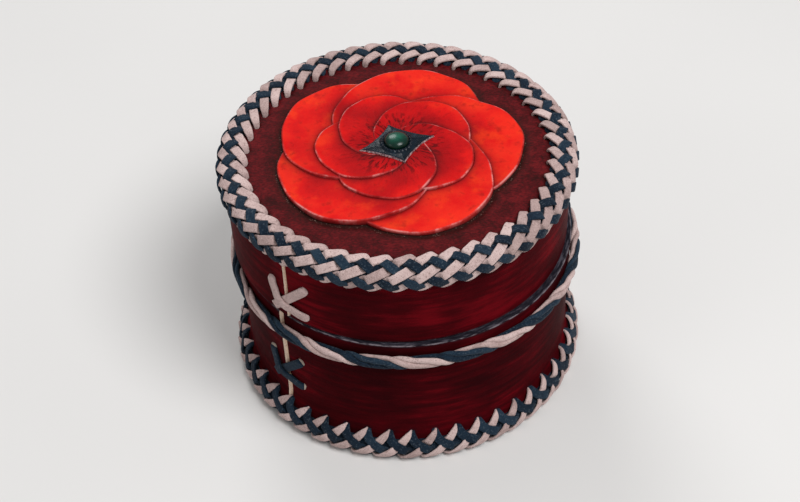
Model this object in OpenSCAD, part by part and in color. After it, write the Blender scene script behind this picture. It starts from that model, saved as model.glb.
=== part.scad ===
// Round leather jewelry box with a lift-off lid. All sizes are in millimetres.
// The box stands on z = 0 with its axis on Z, and the side that is seen first faces -Y.

/* [Base] */
// Outer radius of the base wall
base_radius = 53.2; // [44:0.2:64]
// Height of the base wall's upper edge above the table
base_height = 49.5; // [45:0.5:70]
// Thickness of the base wall's leather
base_wall_thickness = 3; // [2.4:0.1:4]
// How far the floor stands out beyond the base wall
floor_margin = 2.4; // [1.4:0.1:3.2]
// Angle at which the foot of the base wall spreads out to the floor
foot_lean = 18; // [12:1:20]
// Thickness of the floor's leather
floor_thickness = 3.4; // [2.8:0.1:5]
// Direction of the base wall's butt seam, seen from above
base_seam_angle = -135.6; // [-180:0.1:180]

/* [Lid] */
// Height of the lid from the lower edge of its wall to its top face
lid_height = 28.7; // [24:0.1:40]
// How much larger the lid wall's radius is than the base wall's
lid_excess = 0.2; // [0:0.1:0.8]
// Thickness of the lid wall's leather
lid_wall_thickness = 3.1; // [2.4:0.1:4]
// Thickness of the lid top's leather
lid_top_thickness = 3.2; // [2.8:0.1:5]
// Gap between the lid wall and the edge that it sits on
lid_seat_gap = 0.05; // [0.02:0.01:0.2]
// Direction of the lid wall's butt seam, seen from above
lid_seam_angle = -129.5; // [-180:0.1:180]
// How far the loose lid sits to the right of the base's middle
lid_aside = -1.5; // [-1.6:0.1:1.6]
// How far the loose lid sits behind the base's middle
lid_behind = 1.7; // [-1.8:0.1:1.8]

/* [Lip] */
// Thickness of the locating lip
lip_thickness = 2; // [1.2:0.1:3]
// How far the lip drops into the base
lip_drop = 8; // [4:0.5:14]
// How far the lip and its packing ring run up inside the lid wall
lip_overlap = 12; // [6:0.5:16]
// Play between the lip and the base wall on the side where the lid sits closest
lip_clearance = 0.6; // [0.4:0.1:1.5]

/* [Leather work] */
// Gap that a butt seam leaves between the two ends of a wall
seam_gap = 1.2; // [0.4:0.1:2]
// Radius of the corners that the laces bend round
corner_radius = 2; // [1:0.1:2.6]
// Thickness of the two lining pads
lining_thickness = 1.2; // [0.6:0.1:2]
// Film of glue between pieces that are glued together
glue_gap = 0.05; // [0.02:0.01:0.1]

/* [Edge lacing] */
// Width of a lace
lace_width = 2.4; // [1.8:0.1:2.8]
// Thickness of a lace
lace_thickness = 0.75; // [0.5:0.05:0.9]
// Gap between a lace and the leather under it
lace_seat = 0.08; // [0.04:0.01:0.15]
// Gap between two laces at a crossing
weave_gap = 0.04; // [0.02:0.01:0.1]
// Width that a lacing slot has beyond the lace
slot_clearance = 0.5; // [0.3:0.1:0.8]

/* [Twisted cord] */
// Height of the cord
cord_height = 4.2; // [3.4:0.1:5]
// How far the cord stands out from the base wall
cord_thickness = 2.9; // [2.4:0.1:4]
// Length of one turn of the cord's twist
cord_turn = 28.5; // [22:0.5:40]
// Distance of the cord's middle below the edge of the base wall
cord_drop = 5.9; // [4:0.1:9]

/* [Cross stitches] */
// Span of a cross stitch round the wall
stitch_span = 12.5; // [9:0.5:18]
// How far the upper leg of a cross stitch falls from left to right
over_fall = 10; // [8:0.5:14]
// How far the lower leg of a cross stitch rises from left to right
under_rise = 13; // [9:0.5:14]
// Height of the middle of the base wall's cross stitch above the table
base_stitch_height = 24.4; // [20:0.2:30]
// Height of the middle of the lid wall's cross stitch above the lid's lower edge
lid_stitch_height = 8.6; // [8:0.2:11]

/* [Flower] */
// Number of petals in each of the two rings
petals = 5; // [4:1:7]
// Radius of the whole flower
flower_radius = 39; // [34:0.5:40]
// Radius of the inner ring of petals
inner_flower_radius = 25; // [22:0.5:28]
// Radius of one outer petal
outer_petal_radius = 24; // [20:0.5:26]
// Radius of one inner petal
inner_petal_radius = 15; // [13:0.5:17]
// Height of the low side of the outer petals
outer_petal_height = 0.8; // [0.5:0.1:1.5]
// Height of the low side of the inner petals
inner_petal_height = 1.8; // [1.5:0.1:2.5]
// Angle at which a petal's face rises from its low side
petal_tilt = 1.3; // [0.8:0.1:2]

/* [Stone] */
// Length of the stone's lozenge mount
mount_length = 24; // [18:0.5:28]
// Width of the lozenge mount
mount_width = 19; // [15:0.5:22]
// Thickness of the lozenge mount
mount_thickness = 1.8; // [1.2:0.1:2.4]
// Direction of the lozenge's long diagonal
mount_angle = 14; // [0:1:90]
// Diameter of the stone
stone_diameter = 7.5; // [5:0.5:9]
// Height of the stone's dome
stone_height = 3; // [2:0.1:4]
// Depth of the stone's seat in its mount
stone_seat = 0.6; // [0.3:0.1:0.8]

/* [Hidden] */
$fn = 96;

base_inner = base_radius - base_wall_thickness;
floor_radius = base_radius + floor_margin;
lid_radius = base_radius + lid_excess;
lid_inner = lid_radius - lid_wall_thickness;
lip_outer = base_inner - lip_clearance - norm([lid_aside, lid_behind]);
lip_inner = lip_outer - lip_thickness;

// A lace climbs from its seat over the lace that it crosses. At the outer corners of a crossing
// only this share of the climb is left, so the climb is that much larger than one thickness.
crossing_share = 0.5;
weave_rise = (lace_thickness + weave_gap) / crossing_share;
braid_thickness = lace_seat + weave_rise + lace_thickness;
low_lace = lace_seat + lace_thickness / 2;
high_lace = low_lace + weave_rise;

// One stitch is about three laces wide, and one row of a weave a little over one lace.
stitches = round(2 * PI * lid_radius / (2.89 * lace_width));
stitch_angle = 360 / stitches;
lid_rows = 1.4 * lace_width;
base_rows = 1.39 * lace_width;
// Share of a stitch that the beige lace moves sideways in a row; the navy lace moves the rest back.
lid_lean = 0.66;
base_lean = 0.58;

floor_z = braid_thickness;
floor_top = floor_z + floor_thickness;
// The floor's edge leans in above its round corner, and the foot of the wall carries that slope on.
lean_start = corner_radius * (1 + sin(foot_lean));
lean_radius = floor_radius - corner_radius * (1 - cos(foot_lean));
foot_radius = lean_radius - (floor_thickness - lean_start) * tan(foot_lean);
foot_top = floor_top + (foot_radius - base_radius) / tan(foot_lean);
lid_z = base_height + lid_seat_gap;
lid_top_z = lid_z + lid_height;
lid_top_under = lid_top_z - lid_top_thickness;

// A laced edge: [radius of the edge, height of the flat face, +1 where that face looks up,
// position of row 0, +1 where the rows run from the face to the wall, lean of the wall, row spacing].
// Positions run from the face over the round corner to the wall, and are 0 where the corner starts.
lid_edge = [lid_radius, lid_top_z, 1, -1.95 * lid_rows, 1, 0, lid_rows];
base_edge = [floor_radius, floor_z, -1, 3.65 * base_rows, -1, foot_lean, base_rows];
bend_radius = corner_radius + braid_thickness / 2;

cord_ring = base_radius + cord_thickness / 2 + glue_gap;
cord_z = base_height - cord_drop;
cord_turns = round(2 * PI * cord_ring / cord_turn);
// Four strands lie round the cord's middle, a little apart, and are all pressed flat on the wall.
strand_radius = cord_height / 2 / (1 + sqrt(2)) * 0.93;
strand_offset = cord_height / 2 - strand_radius;
cord_flatness = cord_thickness / cord_height;

beige = [0.83, 0.72, 0.66];
navy = [0.10, 0.15, 0.22];
burgundy = [0.36, 0.05, 0.08];
dark_leather = [0.26, 0.07, 0.06];
red = [0.78, 0.13, 0.07];
suede = [0.45, 0.33, 0.26];
green = [0.02, 0.26, 0.14];

function unit(v) = v / norm(v);
function clamp(x, low, high) = min(max(x, low), high);
function around(angle) = [-sin(angle), cos(angle), 0];
function outward(angle) = [cos(angle), sin(angle), 0];

// A laced edge turns from its face to its wall: the whole turn, and the turn made at a position.
function whole_bend(edge) = 90 + edge[5];
function bend_length(edge) = bend_radius * whole_bend(edge) * PI / 180;
function bend_at(edge, place) = clamp(place / bend_length(edge), 0, 1) * whole_bend(edge);
function past_bend(edge, place) = max(place - bend_length(edge), 0);

function edge_radius(edge, place) =
    edge[0] - corner_radius * (1 - sin(bend_at(edge, place)))
    + min(place, 0) - past_bend(edge, place) * sin(edge[5]);
function edge_height(edge, place) =
    edge[1] - edge[2] * (corner_radius * (1 - cos(bend_at(edge, place)))
    + past_bend(edge, place) * cos(edge[5]));
function edge_normal(edge, place, angle) =
    let (bend = bend_at(edge, place))
    sin(bend) * outward(angle) + [0, 0, edge[2] * cos(bend)];
function edge_along(edge, place, angle) =
    let (bend = bend_at(edge, place))
    edge[4] * (cos(bend) * outward(angle) - [0, 0, edge[2] * sin(bend)]);

function row_place(edge, row) = edge[3] + edge[4] * edge[6] * row;
function row_angle(lean, stitch, row) = (stitch - lean * (row - 3)) * stitch_angle;

// The four corners of a lace cut square: its middle, the way across it and the way through it.
function lace_section(middle, across, through) = [
    for (c = [[-1, -1], [1, -1], [1, 1], [-1, 1]])
        middle + c[0] * across * lace_width / 2 + c[1] * through * lace_thickness / 2
];

// A lace cut where it passes a row, at a height over the leather, nosed down by a dip in degrees.
function woven_section(edge, lean, stitch, row, height, dip) =
    let (place = row_place(edge, row))
    let (angle = row_angle(lean, stitch, row))
    let (radius = edge_radius(edge, place))
    let (normal = edge_normal(edge, place, angle))
    let (sideways = -lean * stitch_angle * PI / 180 * radius)
    let (forward = unit(sideways * around(angle) + edge[6] * edge_along(edge, place, angle)))
    let (across = cross(normal, forward))
    let (middle = radius * outward(angle) + [0, 0, edge_height(edge, place)])
    lace_section(middle + height * normal, across, cos(dip) * normal + sin(dip) * forward);

// The two triangles of every face between two rings of corners, given by their first corners.
function band_faces(here, next, sides) = [
    for (k = [0 : sides - 1])
        let (l = (k + 1) % sides)
        each [[here + k, next + k, next + l], [here + k, next + l, here + l]]
];

// Faces of a chain of rings with the same number of corners, closed at both ends by a cap.
function chain_faces(first, rings, sides) = concat(
    [[for (k = [0 : sides - 1]) first + k]],
    [for (i = [0 : rings - 2]) each band_faces(first + i * sides, first + (i + 1) * sides, sides)],
    [[for (k = [0 : sides - 1]) first + rings * sides - 1 - k]]
);

// One lace of a weave, repeated for every stitch. Each cut is [row, height over the leather, dip].
module woven_laces(edge, lean, cuts) {
    rings = len(cuts);
    polyhedron(
        points = [
            for (stitch = [1 : stitches], cut = cuts)
                each woven_section(edge, lean, stitch, cut[0], cut[1], cut[2])
        ],
        faces = [
            for (stitch = [1 : stitches])
                each chain_faces((stitch - 1) * rings * 4, rings, 4)
        ]
    );
}

// Half the length, in rows, over which a lace stays high where it crosses over the other one.
crest = 0.34;
lid_tip_row = 0.48;
base_tip_row = 0.4;
slot_depth = 1;

// The lid is loose, and lies a little off the middle of the base.
module on_lid() {
    translate([lid_aside, lid_behind, 0])
    children();
}

module lid_lace_beige() {
    color(beige)
    on_lid()
    woven_laces(lid_edge, lid_lean, [
        [lid_tip_row, -slot_depth, -70],
        [1 - crest, high_lace, 0],
        [1 + crest, high_lace, 0],
        [2, low_lace, 0],
        [3 - crest, high_lace, 0],
        [3 + crest, high_lace, 0],
        [4, low_lace, 0],
        [4.7, lace_width / 3, 60]
    ]);
}

module lid_lace_navy() {
    color(navy)
    on_lid()
    woven_laces(lid_edge, lid_lean - 1, [
        [0.62, low_lace, 0],
        [1.14, low_lace, 0],
        [2 - crest, high_lace, 0],
        [2 + crest, high_lace, 0],
        [3, low_lace, 0],
        [4 - crest, high_lace, 0],
        [4 + crest, high_lace, 0],
        [4.6, low_lace, 0]
    ]);
}

module base_lace_beige() {
    color(beige)
    woven_laces(base_edge, base_lean, [
        [base_tip_row, lace_width / 3, -60],
        [1 - crest, high_lace, 0],
        [1 + crest, high_lace, 0],
        [2, low_lace, 0],
        [3 - crest, high_lace, 0],
        [3 + crest, high_lace, 0],
        [4, low_lace, 0],
        [4.4, low_lace, 0]
    ]);
}

module base_lace_navy() {
    color(navy)
    woven_laces(base_edge, base_lean - 1, [
        [0.62, low_lace, 0],
        [1.14, low_lace, 0],
        [2 - crest, high_lace, 0],
        [2 + crest, high_lace, 0],
        [3, low_lace, 0],
        [4 - crest, high_lace, 0],
        [4 + crest, high_lace, 0],
        [4.6, lace_width / 3, 60]
    ]);
}

// A wall bent from one strip with the given profile, with its butt seam at the given direction.
module drum_wall(outer, seam) {
    gap = 360 * seam_gap / (2 * PI * outer);
    rotate(seam + gap / 2)
    rotate_extrude(angle = 360 - gap)
    children();
}

// The profile of a disc of leather whose upper edge is rounded off.
module rounded_profile(radius, thickness) {
    intersection() {
        square([radius, thickness]);
        union() {
            square([radius - corner_radius, thickness]);
            square([radius, thickness - corner_radius]);
            translate([radius - corner_radius, thickness - corner_radius])
            circle(corner_radius);
        }
    }
}

module base_wall() {
    color(burgundy)
    drum_wall(base_radius, base_seam_angle)
    polygon([
        [foot_radius, floor_top], [base_radius, foot_top], [base_radius, base_height],
        [base_inner, base_height], [base_inner, foot_top], [foot_radius - base_wall_thickness, floor_top]
    ]);
}

// The floor lies face down, so its profile is drawn from its inner face.
module base_floor() {
    color(dark_leather)
    translate([0, 0, floor_top])
    mirror([0, 0, 1])
    rotate_extrude()
    intersection() {
        rounded_profile(floor_radius, floor_thickness);
        polygon([
            [0, 0], [foot_radius, 0],
            [foot_radius + floor_thickness * tan(foot_lean), floor_thickness], [0, floor_thickness]
        ]);
    }
}

module base_lining() {
    color(suede)
    translate([0, 0, floor_top + glue_gap])
    cylinder(h = lining_thickness, r = base_inner - lip_clearance / 2);
}

module lid_wall() {
    color(burgundy)
    on_lid()
    drum_wall(lid_radius, lid_seam_angle)
    translate([lid_inner, lid_z])
    square([lid_wall_thickness, lid_top_under - lid_z]);
}

// The slots let the beige lace through the lid top, one for each stitch.
module lid_top() {
    radius = edge_radius(lid_edge, row_place(lid_edge, lid_tip_row));
    color(dark_leather)
    on_lid()
    difference() {
        translate([0, 0, lid_top_under])
        rotate_extrude()
        rounded_profile(lid_radius, lid_top_thickness);
        for (stitch = [1 : stitches])
            rotate(row_angle(lid_lean, stitch, lid_tip_row))
            translate([radius, 0, lid_top_under + lid_top_thickness / 2])
            rotate(-atan(lid_lean * stitch_angle * PI / 180 * radius / lid_rows))
            cube([2 * lace_thickness + slot_clearance, lace_width + slot_clearance,
                2 * lid_top_thickness], center = true);
    }
}

module lid_lip() {
    color(suede)
    on_lid()
    rotate_extrude()
    translate([lip_inner, lid_z - lip_drop])
    square([lip_thickness, lip_drop + lip_overlap]);
}

// The ring of leather that holds the lip at its distance from the lid wall.
module lid_packing() {
    color(suede)
    on_lid()
    rotate_extrude()
    translate([lip_outer + glue_gap, lid_z])
    square([lid_inner - lip_outer - 2 * glue_gap, lip_overlap]);
}

module lid_lining() {
    color(suede)
    on_lid()
    translate([0, 0, lid_top_under - glue_gap - lining_thickness])
    cylinder(h = lining_thickness, r = lid_inner - lip_clearance / 2);
}

// Middle of a strand of the twisted cord, at an angle round the box.
function strand_middle(strand, angle) =
    let (twist = strand * 90 - cord_turns * angle)
    (cord_ring + cord_flatness * strand_offset * cos(twist)) * outward(angle)
    + [0, 0, cord_z + strand_offset * sin(twist)];

// Two strands of one colour, each a closed ring. The first strand is counted from 0.
module cord_strands(first) {
    sides = 5;
    rings = cord_turns * 6;
    polyhedron(
        points = [
            for (strand = [first, first + 1], i = [0 : rings - 1], k = [0 : sides - 1])
                let (angle = 360 * i / rings)
                let (turn = 360 * k / sides)
                strand_middle(strand, angle)
                + strand_radius * (cord_flatness * cos(turn) * outward(angle) + [0, 0, sin(turn)])
        ],
        faces = [
            for (strand = [0, 1], i = [0 : rings - 1])
                each band_faces((strand * rings + (i + 1) % rings) * sides,
                    (strand * rings + i) * sides, sides)
        ]
    );
}

module cord_beige() {
    color(beige)
    cord_strands(0);
}

module cord_navy() {
    color(navy)
    cord_strands(2);
}

// One leg of a cross stitch, which falls by so much from left to right as seen from outside. Each cut
// is [share of the leg, height over the leather, dip].
module stitch_leg(radius, middle_z, seam, fall, cuts) {
    polyhedron(
        points = [
            for (cut = cuts)
                let (angle = seam + 180 / PI * cut[0] * stitch_span / 2 / radius)
                let (forward = unit(stitch_span * around(angle) - [0, 0, fall]))
                let (normal = outward(angle))
                let (height = middle_z - cut[0] * fall / 2)
                each lace_section((radius + cut[1]) * normal + [0, 0, height],
                    cross(normal, forward), cos(cut[2]) * normal + sin(cut[2]) * forward)
        ],
        faces = chain_faces(0, len(cuts), 4)
    );
}

module cross_stitch(radius, middle_z, seam) {
    over = low_lace + lace_thickness + weave_gap + lace_seat;
    stitch_leg(radius, middle_z, seam, -under_rise, [
        [-1, low_lace, 0],
        [-0.4, low_lace, 0],
        [0.4, low_lace, 0],
        [1, low_lace, 0]
    ]);
    stitch_leg(radius, middle_z, seam, over_fall, [
        [-1, low_lace, 0],
        [-0.3, over, 0],
        [0.3, over, 0],
        [1, low_lace, 0]
    ]);
}

module base_cross_stitch() {
    color(navy)
    cross_stitch(base_radius, base_stitch_height, base_seam_angle);
}

module lid_cross_stitch() {
    color(beige)
    on_lid()
    cross_stitch(lid_radius, lid_z + lid_stitch_height, lid_seam_angle);
}

// One petal: a round outline with a tilted face, so that each petal of a ring lifts one side over
// the next one.
module petal(reach, radius, height) {
    translate([reach - radius, 0, lid_top_z + glue_gap])
    difference() {
        cylinder(h = radius, r = radius);
        translate([0, -radius, height])
        rotate([petal_tilt, 0, 0])
        translate([-2 * radius, -radius, 0])
        cube([4 * radius, 4 * radius, 2 * radius]);
    }
}

module petal_ring(reach, radius, height, turn) {
    for (i = [0 : petals - 1])
        rotate(turn + i * 360 / petals)
        petal(reach, radius, height);
}

module lozenge(grow) {
    long = mount_length / 2 + grow;
    wide = mount_width / 2 + grow;
    rotate(mount_angle)
    polygon([[long, 0], [0, wide], [-long, 0], [0, -wide]]);
}

inner_turn = 180 / petals;

module petals_outer() {
    color(red)
    on_lid()
    difference() {
        petal_ring(flower_radius, outer_petal_radius, outer_petal_height, 0);
        for (i = [0 : petals - 1])
            rotate(inner_turn + i * 360 / petals)
            translate([inner_flower_radius - inner_petal_radius, 0, lid_top_z])
            cylinder(h = inner_petal_radius, r = inner_petal_radius + glue_gap);
    }
}

module petals_inner() {
    color(red)
    on_lid()
    difference() {
        petal_ring(inner_flower_radius, inner_petal_radius, inner_petal_height, inner_turn);
        translate([0, 0, lid_top_z + glue_gap + inner_petal_height])
        linear_extrude(mount_width)
        lozenge(2 * glue_gap);
    }
}

module stone_mount() {
    seat = lid_top_z + 2 * glue_gap + inner_petal_height;
    color(navy)
    on_lid()
    difference() {
        translate([0, 0, seat])
        linear_extrude(mount_thickness)
        lozenge(0);
        translate([0, 0, seat + mount_thickness - stone_seat])
        cylinder(h = stone_seat + 1, d = stone_diameter + 2 * glue_gap);
    }
}

// A cabochon: a flat back, a short girdle as deep as its seat, and a dome.
module stone() {
    dome = stone_height - stone_seat;
    dome_radius = (pow(stone_diameter / 2, 2) + pow(dome, 2)) / (2 * dome);
    color(green)
    on_lid()
    translate([0, 0, lid_top_z + 3 * glue_gap + inner_petal_height + mount_thickness - stone_seat])
    intersection() {
        cylinder(h = stone_height + 1, d = stone_diameter);
        translate([0, 0, stone_height - dome_radius])
        sphere(dome_radius);
    }
}

base_wall();
base_floor();
base_lining();
base_lace_beige();
base_lace_navy();
base_cross_stitch();
cord_beige();
cord_navy();
lid_wall();
lid_top();
lid_lip();
lid_packing();
lid_lining();
lid_lace_beige();
lid_lace_navy();
lid_cross_stitch();
petals_outer();
petals_inner();
stone_mount();
stone();
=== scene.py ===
# %% [markdown]
# # A round leather jewelry box
#
# Two short drums of dyed leather make this box: a base, and a lid that lifts straight off it. Laces
# of beige and navy suede are woven over both outer edges, a twisted cord runs under the rim, and a
# relief flower with a set stone sits on the lid. The solids come ready made, with the lid as a body
# of its own. The script could model everything again, but dressing each solid with a finer surface
# keeps every piece where the joint expects it. The first step loads the solids and bakes their
# placement into their meshes.

import math
from collections import namedtuple

import bmesh
import bpy
import numpy as np
from mathutils import Matrix, Vector, noise
from mathutils.kdtree import KDTree


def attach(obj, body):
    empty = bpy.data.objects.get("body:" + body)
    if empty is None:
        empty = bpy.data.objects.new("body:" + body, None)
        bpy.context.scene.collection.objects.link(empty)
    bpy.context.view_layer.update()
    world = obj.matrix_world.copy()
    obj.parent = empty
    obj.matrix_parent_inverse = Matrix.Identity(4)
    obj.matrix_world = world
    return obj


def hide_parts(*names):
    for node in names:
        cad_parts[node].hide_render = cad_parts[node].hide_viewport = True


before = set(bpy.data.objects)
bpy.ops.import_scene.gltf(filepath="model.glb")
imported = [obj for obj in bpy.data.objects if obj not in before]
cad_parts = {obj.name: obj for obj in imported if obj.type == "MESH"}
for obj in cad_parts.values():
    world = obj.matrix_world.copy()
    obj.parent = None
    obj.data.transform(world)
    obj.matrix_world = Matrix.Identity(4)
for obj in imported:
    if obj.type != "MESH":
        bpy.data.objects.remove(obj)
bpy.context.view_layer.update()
MM = 0.001

# %% [markdown]
# ## The view
#
# The box is seen from in front and from about 45 degrees above, with a slight roll. A camera can be
# placed by trial, but here its distance and focal length were worked out from the ellipses of the
# lid, the rim and the base, so that the drums narrow towards the table as much as the real ones do.

# %% The camera
IMAGE_WIDTH = 800
FOCAL_PIXELS = 1345.45
SENSOR = 36
elevation, roll = math.radians(44.3), math.radians(-2.22)
looked_at = Vector((-1.74, 0, 36.63)) * MM
distance = 440 * MM

back = Vector((0, -math.cos(elevation), math.sin(elevation)))
level = Vector((1, 0, 0))
right = math.cos(roll) * level + math.sin(roll) * back.cross(level)

lens = bpy.data.cameras.new("view")
lens.sensor_fit, lens.sensor_width = "HORIZONTAL", SENSOR
lens.lens = SENSOR * FOCAL_PIXELS / IMAGE_WIDTH
camera = bpy.data.objects.new("view", lens)
camera.matrix_world = Matrix((right, back.cross(right), back)).transposed().to_4x4()
camera.location = looked_at + distance * back
bpy.context.scene.collection.objects.link(camera)
bpy.context.scene.camera = camera
print("Lens in mm:", round(lens.lens, 1))

# %% [markdown]
# ## Wires for the finishes
#
# Each finish is a small network of nodes, and linking them by hand hides the idea behind it. This
# class stands for one output of a node. Arithmetic on it adds the Math nodes, and its `node` method
# adds any other kind, so that a finish below reads like a recipe.

# %% Wires
class Wire:
    """One output of a node. Arithmetic on wires adds Math nodes to the same tree."""

    def __init__(self, tree, socket=None):
        self.tree, self.socket = tree, socket

    def node(self, kind, settings=(), sockets=()):
        """Adds a node. Its settings are set first, then each socket gets its value or its wire."""
        made = self.tree.nodes.new("ShaderNode" + kind)
        for name, value in dict(settings).items():
            if name == "stops":
                self.set_stops(made.color_ramp.elements, value)
            else:
                setattr(made, name, value)
        for socket in made.inputs:
            value = dict(sockets).get(socket.identifier)
            if isinstance(value, Wire):
                self.tree.links.new(value.socket, socket)
            elif value is not None:
                socket.default_value = value
        return Wire(self.tree, next(out for out in made.outputs if out.enabled))

    @staticmethod
    def set_stops(elements, stops):
        elements[0].position, elements[0].color = stops[0]
        elements[-1].position, elements[-1].color = stops[-1]
        for place, colour in stops[1:-1]:
            elements.new(place).color = colour

    def out(self, name):
        """Another output of the same node."""
        return Wire(self.tree, self.socket.node.outputs[name])

    def math(self, operation, *values):
        names = ("Value", "Value_001", "Value_002")
        return self.node("Math", {"operation": operation}, dict(zip(names, values)))

    def __add__(self, other):
        return self.math("ADD", self, other)

    def __sub__(self, other):
        return self.math("SUBTRACT", self, other)

    def __rsub__(self, other):
        return self.math("SUBTRACT", other, self)

    def __mul__(self, other):
        return self.math("MULTIPLY", self, other)

    __radd__, __rmul__ = __add__, __mul__

    def between(self, low, high):
        """0 up to low, 1 from high on, and a smooth climb between them."""
        return self.node("MapRange", {"interpolation_type": "SMOOTHSTEP"},
                         {"Value": self, "From Min": low, "From Max": high})


print("Wires add Math nodes for +, - and *")

# %% [markdown]
# ## Starting and closing a finish
#
# Every finish starts as a plain shader, with the values that are the same all over the piece. It is
# closed when its colour, its roughness and its relief are linked. They could be painted as pictures,
# but a network of nodes stays sharp at any size. The relief is a bump of a known depth, because the
# grain of leather is too fine to be modelled.

# %% Starting and closing
def rgb(red, green, blue):
    return (red, green, blue, 1.0)


def start_finish(name, **shine):
    """A new material, its shader with the values that are the same all over, and its place wire."""
    material = bpy.data.materials.new(name)
    material.use_nodes = True
    shader = material.node_tree.nodes["Principled BSDF"]
    for socket, value in shine.items():
        shader.inputs[socket.replace("_", " ")].default_value = value
    return material, Wire(material.node_tree).node("TexCoord").out("Object")


def put_on(material, place, colour, roughness, height, depth):
    """Links a recipe to the shader. The bump is this many millimetres deep."""
    relief = place.node("Bump", {}, {"Height": height, "Distance": depth * MM, "Strength": 1.0})
    shader = material.node_tree.nodes["Principled BSDF"]
    for name, wire in (("Base Color", colour), ("Roughness", roughness), ("Normal", relief)):
        material.node_tree.links.new(wire.socket, shader.inputs[name])
    print("Finish", material.name, "has", len(material.node_tree.nodes), "nodes")


print("A finish links Base Color, Roughness and Normal")

# %% [markdown]
# ## Words of the recipes
#
# Hand-dyed leather is never even: dye pools in clouds, follows the brush in strokes, and the skin
# has a grain of its own. They could come from photographs, but noise at a known size in millimetres
# gives all three. Some marks follow the shape and not a pattern, such as a cut edge that shows undyed
# leather, an edge that was burnished dark, painted shade in holes and under laces, a painted highlight
# on the rim of a wall, or the tone of one lace. The meshes carry those as attributes named raw, dark,
# edge, worn and tone, and the finishes read them.

# %% Recipe words
def vector(place, operation, other=(0, 0, 0)):
    return place.node("VectorMath", {"operation": operation}, {"Vector": place, "Vector_001": other})


def scaled(place, factors):
    return vector(place, "MULTIPLY", factors)


def cloud(place, size, detail=3.0, rough=0.5):
    """Soft noise with blots of about this size in millimetres."""
    return place.node("TexNoise", {}, {"Vector": place, "Scale": 1 / (size * MM),
                                       "Detail": detail, "Roughness": rough})


def streaky(place, fourth, scale, detail, rough):
    """Noise in four dimensions, so that it also changes along a number such as a distance."""
    return place.node("TexNoise", {"noise_dimensions": "4D"},
                      {"Vector": place, "W": fourth, "Scale": scale, "Detail": detail,
                       "Roughness": rough})


def pebbles(place, size):
    """Distance from the middle of the nearest cell of this size in millimetres."""
    return place.node("TexVoronoi", {}, {"Vector": place, "Scale": 1 / (size * MM)})


def blend(first, second, share):
    return share.node("Mix", {"data_type": "RGBA"},
                      {"Factor_Float": share, "A_Color": first, "B_Color": second}).out("Result")


def ramp(share, *stops):
    return share.node("ValToRGB", {"stops": stops}, {"Fac": share})


def mark(place, name):
    """A number that the mesh carries at its points or faces."""
    return place.node("Attribute", {"attribute_name": name}).out("Fac")


RAW = rgb(0.86, 0.70, 0.57)
# blue-black for burnished edges, and also painted shade in holes, under laces and round the stone
BURNISH_AND_SHADE = rgb(0.009, 0.012, 0.017)
print("Undyed leather:", RAW[:3], "burnished:", BURNISH_AND_SHADE[:3])

# %% [markdown]
# ## Burgundy leather
#
# Both walls are strips of smooth leather, dyed burgundy by brush along their length and then waxed.
# The strokes show as faint darker and brighter streaks round the drum. The lid's wall is painted
# lighter than the base's, and the base's wall a little darker above its foot: painted light and
# shade, set by height. Noise that is squeezed in height gives such strokes without any seam, because
# it is read in space and not round the wall. The rim is burnished to a dark blue-grey, in streaks
# that follow it, and a broken pale line along its outer corner is a painted highlight. Painted shade
# darkens the holes and the leather under the laces. The cut faces of the seams stay undyed.

# %% Burgundy leather
def burgundy_leather():
    material, place = start_finish("burgundy_leather", Specular_IOR_Level=0.005)
    strokes = cloud(scaled(place, (1, 1, 8)), 16, 5, 0.6)
    pools = cloud(place, 21, 3)
    height = place.node("SeparateXYZ", {}, {"Vector": place}).out("Z")
    # painted light and shade by height: the lid's wall lighter, the base's wall darker above its foot
    painted_light_on_lid, painted_shade_above_foot = height.between(0.049, 0.050), height.between(0.012, 0.030)
    dye = strokes * 0.5 + pools * 0.5 + painted_light_on_lid * 0.10 - painted_shade_above_foot * 0.05
    colour = ramp(dye.between(0.32, 0.76), (0.0, rgb(0.024, 0.002, 0.003)),
                  (0.5, rgb(0.058, 0.002, 0.004)), (1.0, rgb(0.150, 0.003, 0.007)))
    hairs = cloud(scaled(place, (1, 1, 6)), 2.4, 4, 0.6)
    colour = blend(colour, rgb(0.020, 0.002, 0.004), hairs.between(0.5, 0.8) * 0.4)
    edge, worn, raw = mark(place, "edge"), mark(place, "worn"), mark(place, "raw")
    reach = vector(scaled(place, (1, 1, 0)), "LENGTH").out("Value")
    streaks = streaky(scaled(place, (1, 1, 5)), reach * 6, 280.0, 5.0, 0.65)
    rim = ramp(streaks.between(0.38, 0.66), (0.0, rgb(0.011, 0.010, 0.014)),
               (0.6, rgb(0.026, 0.024, 0.033)), (1.0, rgb(0.075, 0.068, 0.085)))
    colour = blend(colour, rim, edge)
    # painted highlight: a broken pale line along the rim's outer corner
    colour = blend(colour, rgb(0.22, 0.19, 0.21), worn * streaks.between(0.42, 0.6) * 0.9)
    # painted shade from the dark mark: dark in the holes and on the leather under the laces
    colour = blend(colour, BURNISH_AND_SHADE, mark(place, "dark"))
    fibre = cloud(place, 0.5, 4, 0.7)
    bare = blend(rgb(0.58, 0.38, 0.27), RAW, fibre.between(0.25, 0.55))
    colour = blend(colour, bare, raw)
    roughness = 0.4 + 0.14 * hairs - 0.16 * edge + 0.4 * raw
    grain = pebbles(place, 0.8) * 0.5 + hairs * 0.7 + fibre * raw
    put_on(material, place, colour, roughness, grain, 0.07)
    return material


burgundy = burgundy_leather()
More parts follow.
